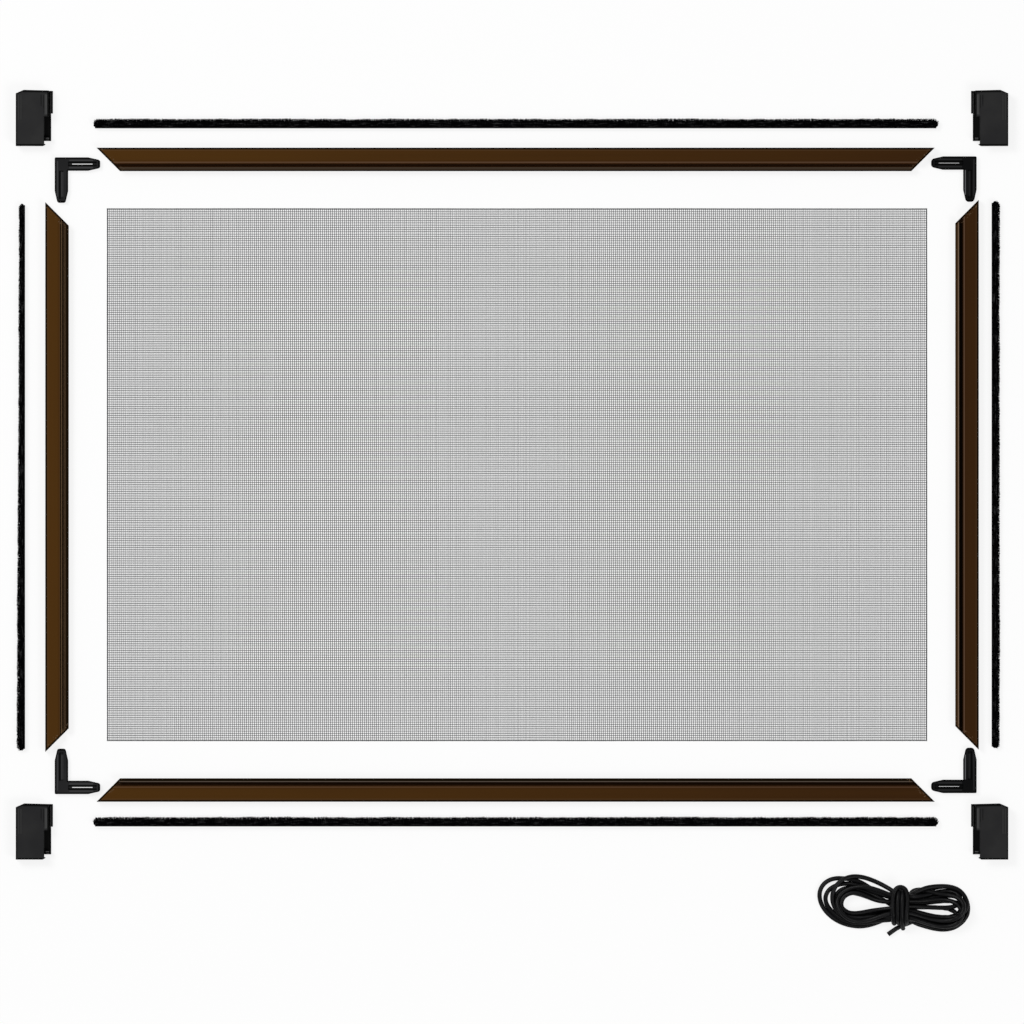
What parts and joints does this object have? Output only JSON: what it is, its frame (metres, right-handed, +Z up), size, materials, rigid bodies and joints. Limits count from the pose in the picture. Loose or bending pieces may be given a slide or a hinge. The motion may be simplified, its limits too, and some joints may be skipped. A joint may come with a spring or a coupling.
{
  "type": "window screen frame",
  "caption": "Window insect screen frame as an unassembled kit laid flat: mitred brown rails, corner connectors, hanging brackets, pile seals, screen cloth and tied rubber cord.",
  "frame": {"origin": "middle of the laid-out kit, without the tied cord, on the surface that it lies on", "axes": "+X along the long rails, +Y up the layout as the picture shows it, +Z up from the surface"},
  "size_m": [1.083, 0.9185, 0.02],
  "materials": {
    "rail": "satin brown powder coat",
    "connector": "black moulded",
    "bracket": "dark grey moulded",
    "seal_backing": "woven polypropylene",
    "seal_pile": "dense black pile",
    "screen_cloth": "coated glass yarn",
    "cord": "smooth black rubber"
  },
  "bodies": {
    "root": {"rail_top": "rail", "rail_bottom": "rail", "rail_left": "rail", "rail_right": "rail", "connector_top_left": "connector", "connector_top_right": "connector", "connector_bottom_left": "connector", "connector_bottom_right": "connector", "bracket_top_left": "bracket", "bracket_top_right": "bracket", "bracket_bottom_left": "bracket", "bracket_bottom_right": "bracket", "seal_backing_top": "seal_backing", "seal_backing_bottom": "seal_backing", "seal_backing_left": "seal_backing", "seal_backing_right": "seal_backing", "seal_pile_top": "seal_pile", "seal_pile_bottom": "seal_pile", "seal_pile_left": "seal_pile", "seal_pile_right": "seal_pile", "screen_cloth": "screen_cloth", "spline_cord": "cord"}
  },
  "joints": []
}
